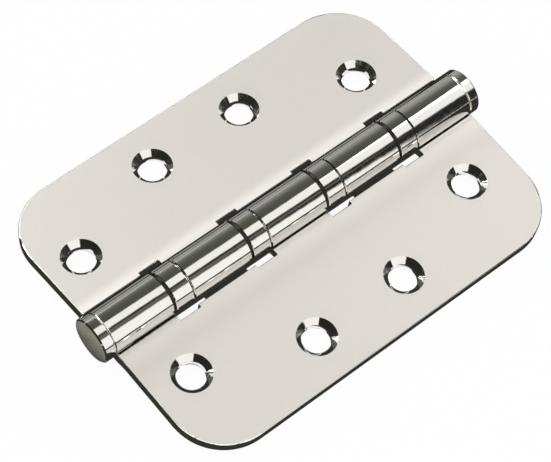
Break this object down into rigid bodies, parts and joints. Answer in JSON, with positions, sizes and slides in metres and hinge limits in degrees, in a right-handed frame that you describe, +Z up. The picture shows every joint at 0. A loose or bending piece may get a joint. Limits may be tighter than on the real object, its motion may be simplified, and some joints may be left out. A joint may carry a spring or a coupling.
{
  "type": "butt hinge",
  "caption": "Butt hinge with rounded leaf corners, rolled knuckles, ball bearings in the barrel and countersunk screw holes; hangs a door on its frame.",
  "frame": {"origin": "on the ground below the middle of the pin, with the open hinge lying on its barrel and leaf edges", "axes": "+Y along the pin, +X towards the three-knuckle leaf, +Z up, the way the countersunk faces look"},
  "size_m": [0.0748, 0.1054, 0.0108],
  "materials": {
    "polished_leaf": "polished nickel plate",
    "polished_cap": "satin nickel plate",
    "polished_shroud": "polished nickel plate",
    "pin_steel": "ground steel",
    "ball_steel": "polished bearing steel"
  },
  "bodies": {
    "leaf_a": {"leaf_three_knuckles": "polished_leaf", "hinge_pin": "pin_steel", "end_cap_lower": "polished_cap", "end_cap_upper": "polished_cap", "bearing_1_lower_race": "pin_steel", "bearing_2_upper_race": "pin_steel", "bearing_2_shroud": "polished_shroud", "bearing_3_lower_race": "pin_steel", "bearing_4_upper_race": "pin_steel", "bearing_4_shroud": "polished_shroud"},
    "leaf_b": {"leaf_two_knuckles": "polished_leaf", "bearing_1_upper_race": "pin_steel", "bearing_1_shroud": "polished_shroud", "bearing_2_lower_race": "pin_steel", "bearing_3_upper_race": "pin_steel", "bearing_3_shroud": "polished_shroud", "bearing_4_lower_race": "pin_steel"},
    "ball_sets": {"bearing_1_balls": "ball_steel", "bearing_2_balls": "ball_steel", "bearing_3_balls": "ball_steel", "bearing_4_balls": "ball_steel"}
  },
  "joints": [
    {"name": "leaf_swing", "type": "hinge", "parent": "leaf_a", "child": "leaf_b", "pos_m": [0, 0, 0.0054], "axis": [0, 1, 0], "range_deg": [-82.64, 187.36]},
    {"name": "ball_roll", "type": "hinge", "parent": "leaf_a", "child": "ball_sets", "pos_m": [0, 0, 0.0054], "axis": [0, 1, 0], "range_deg": [-41.42, 93.78]}
  ],
  "couplings": [
    {"joint": "ball_roll", "follows": "leaf_swing", "ratio": 0.5}
  ]
}
